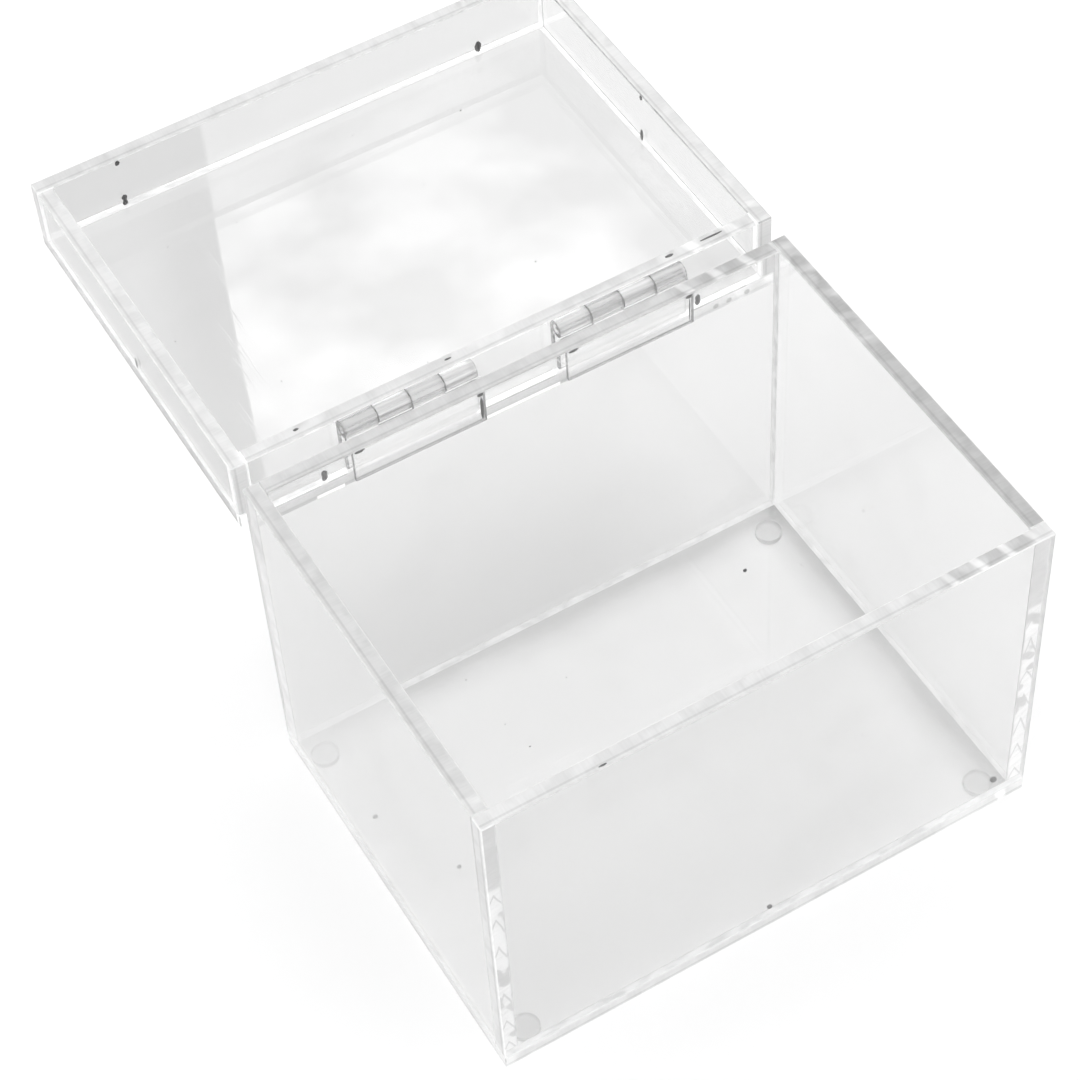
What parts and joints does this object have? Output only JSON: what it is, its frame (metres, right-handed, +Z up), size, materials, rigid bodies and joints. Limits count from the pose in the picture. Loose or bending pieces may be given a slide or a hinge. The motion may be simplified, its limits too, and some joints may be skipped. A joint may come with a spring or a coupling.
{
  "type": "pick holder box",
  "caption": "Clear acrylic keepsake box for guitar picks: glued sheet walls, tray lid on clear barrel hinges, soft bumper feet, shown fully open.",
  "frame": {"origin": "below the middle of the hinge axis, on the plane the feet stand on", "axes": "+X to the right along the hinge line, +Y from the box towards the open lid, +Z up"},
  "size_m": [0.105, 0.1598, 0.0752],
  "materials": {
    "acrylic_sheet": "clear, polished faces, saw-cut edges",
    "hinge_plastic": "clear moulded",
    "hinge_pin": "clear, drawn",
    "foot_bumper": "clear soft bumper"
  },
  "bodies": {
    "box": {"base_panel": "acrylic_sheet", "front_wall": "acrylic_sheet", "back_wall": "acrylic_sheet", "left_wall": "acrylic_sheet", "right_wall": "acrylic_sheet", "hinge_left_box_leaf": "hinge_plastic", "hinge_left_pin": "hinge_pin", "hinge_right_box_leaf": "hinge_plastic", "hinge_right_pin": "hinge_pin", "foot_front_left": "foot_bumper", "foot_front_right": "foot_bumper", "foot_back_left": "foot_bumper", "foot_back_right": "foot_bumper"},
    "lid": {"lid_panel": "acrylic_sheet", "lid_front_strip": "acrylic_sheet", "lid_back_strip": "acrylic_sheet", "lid_left_strip": "acrylic_sheet", "lid_right_strip": "acrylic_sheet", "hinge_left_lid_leaf": "hinge_plastic", "hinge_right_lid_leaf": "hinge_plastic"}
  },
  "joints": [
    {"name": "lid_hinge", "type": "hinge", "parent": "box", "child": "lid", "pos_m": [0, 0, 0.07355], "axis": [1, 0, 0], "range_deg": [0, 180]}
  ]
}
